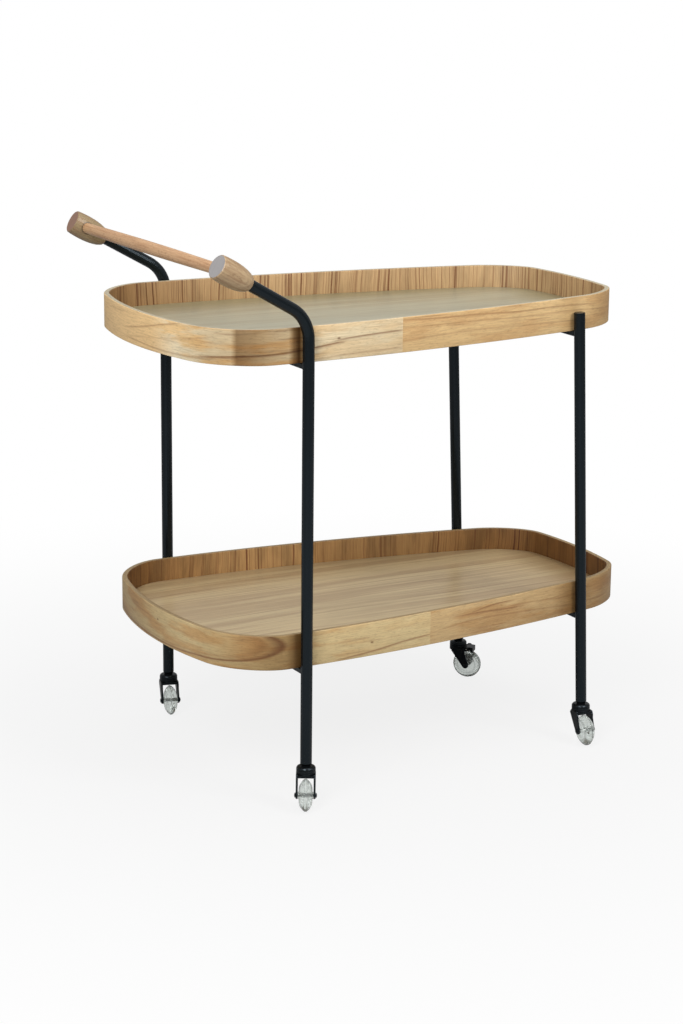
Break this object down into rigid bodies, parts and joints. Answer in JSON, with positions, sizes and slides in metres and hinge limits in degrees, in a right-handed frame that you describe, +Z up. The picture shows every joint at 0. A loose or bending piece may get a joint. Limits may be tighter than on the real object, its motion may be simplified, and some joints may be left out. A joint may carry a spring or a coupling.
{
  "type": "bar cart",
  "caption": "Two-tier bar cart with bent-rim wooden trays on a black tubular frame, a turned wooden handle and swivel casters with clear wheels, one braked.",
  "frame": {"origin": "on the floor, under the middle of the cart's length and on its middle plane", "axes": "+Z up; +X from the handle end to the far end; +Y from the front side to the rear side"},
  "size_m": [0.825, 0.5734, 0.859],
  "materials": {
    "rim_veneer": "bent veneer, satin lacquer",
    "upper_panel_veneer": "veneered panel, satin lacquer",
    "lower_panel_veneer": "veneered panel, satin lacquer",
    "turned_beech": "turned, satin lacquer",
    "powder_coat": "fine satin powder coat",
    "moulded_nylon": "moulded, satin",
    "clear_polyurethane": "clear, polished mould",
    "zinc_steel": "zinc plated"
  },
  "bodies": {
    "frame": {"caster_front_left_stem": "zinc_steel", "caster_front_left_washer": "moulded_nylon", "caster_front_right_stem": "zinc_steel", "caster_front_right_washer": "moulded_nylon", "caster_rear_left_stem": "zinc_steel", "caster_rear_left_washer": "moulded_nylon", "caster_rear_right_stem": "zinc_steel", "caster_rear_right_washer": "moulded_nylon", "handle_bar": "turned_beech", "handle_cap_front": "turned_beech", "handle_cap_rear": "turned_beech", "leg_cap_front_right": "powder_coat", "leg_cap_rear_right": "powder_coat", "leg_front_left": "powder_coat", "leg_front_right": "powder_coat", "leg_rear_left": "powder_coat", "leg_rear_right": "powder_coat", "lower_floor": "lower_panel_veneer", "lower_rim": "rim_veneer", "rail_lower_left": "powder_coat", "rail_lower_right": "powder_coat", "rail_upper_left": "powder_coat", "rail_upper_right": "powder_coat", "screw_lower_left_front": "zinc_steel", "screw_lower_left_rear": "zinc_steel", "screw_lower_right_front": "zinc_steel", "screw_lower_right_rear": "zinc_steel", "screw_upper_left_front": "zinc_steel", "screw_upper_left_rear": "zinc_steel", "screw_upper_right_front": "zinc_steel", "screw_upper_right_rear": "zinc_steel", "socket_front_left": "moulded_nylon", "socket_front_right": "moulded_nylon", "socket_rear_left": "moulded_nylon", "socket_rear_right": "moulded_nylon", "upper_floor": "upper_panel_veneer", "upper_rim": "rim_veneer"},
    "front_left_fork": {"caster_front_left_fork": "moulded_nylon", "caster_front_left_axle": "moulded_nylon"},
    "front_left_wheel": {"caster_front_left_wheel": "clear_polyurethane"},
    "front_right_fork": {"caster_front_right_fork": "moulded_nylon", "caster_front_right_axle": "moulded_nylon"},
    "front_right_wheel": {"caster_front_right_wheel": "clear_polyurethane"},
    "rear_left_fork": {"caster_rear_left_fork": "moulded_nylon", "caster_rear_left_axle": "moulded_nylon"},
    "rear_left_wheel": {"caster_rear_left_wheel": "clear_polyurethane"},
    "rear_right_fork": {"caster_rear_right_fork": "moulded_nylon", "caster_rear_right_axle": "moulded_nylon", "brake_pin": "zinc_steel"},
    "rear_right_wheel": {"caster_rear_right_wheel": "clear_polyurethane"},
    "brake": {"brake_lever": "moulded_nylon"}
  },
  "joints": [
    {"name": "front_left_swivel", "type": "hinge", "parent": "frame", "child": "front_left_fork", "pos_m": [-0.2445, -0.25162, 0.06], "axis": [0, 0, 1], "continuous": true},
    {"name": "front_left_roll", "type": "hinge", "parent": "front_left_fork", "child": "front_left_wheel", "pos_m": [-0.25274, -0.26649, 0.02484], "axis": [0.8746, -0.4848, 0], "continuous": true},
    {"name": "front_right_swivel", "type": "hinge", "parent": "frame", "child": "front_right_fork", "pos_m": [0.29678, -0.19492, 0.06], "axis": [0, 0, 1], "continuous": true},
    {"name": "front_right_roll", "type": "hinge", "parent": "front_right_fork", "child": "front_right_wheel", "pos_m": [0.2953, -0.21186, 0.02484], "axis": [0.9962, -0.0872, 0], "continuous": true},
    {"name": "rear_left_swivel", "type": "hinge", "parent": "frame", "child": "rear_left_fork", "pos_m": [-0.2445, 0.25162, 0.06], "axis": [0, 0, 1], "continuous": true},
    {"name": "rear_left_roll", "type": "hinge", "parent": "rear_left_fork", "child": "rear_left_wheel", "pos_m": [-0.2489, 0.23519, 0.02484], "axis": [0.9659, -0.2588, 0], "continuous": true},
    {"name": "rear_right_swivel", "type": "hinge", "parent": "frame", "child": "rear_right_fork", "pos_m": [0.29678, 0.19492, 0.06], "axis": [0, 0, 1], "continuous": true},
    {"name": "rear_right_roll", "type": "hinge", "parent": "rear_right_fork", "child": "rear_right_wheel", "pos_m": [0.3087, 0.1828, 0.02484], "axis": [0.7133, 0.7009, 0], "continuous": true},
    {"name": "brake_press", "type": "hinge", "parent": "rear_right_fork", "child": "brake", "pos_m": [0.30975, 0.18173, 0.05454], "axis": [0.7133, 0.7009, 0], "range_deg": [0, 5.5]}
  ]
}
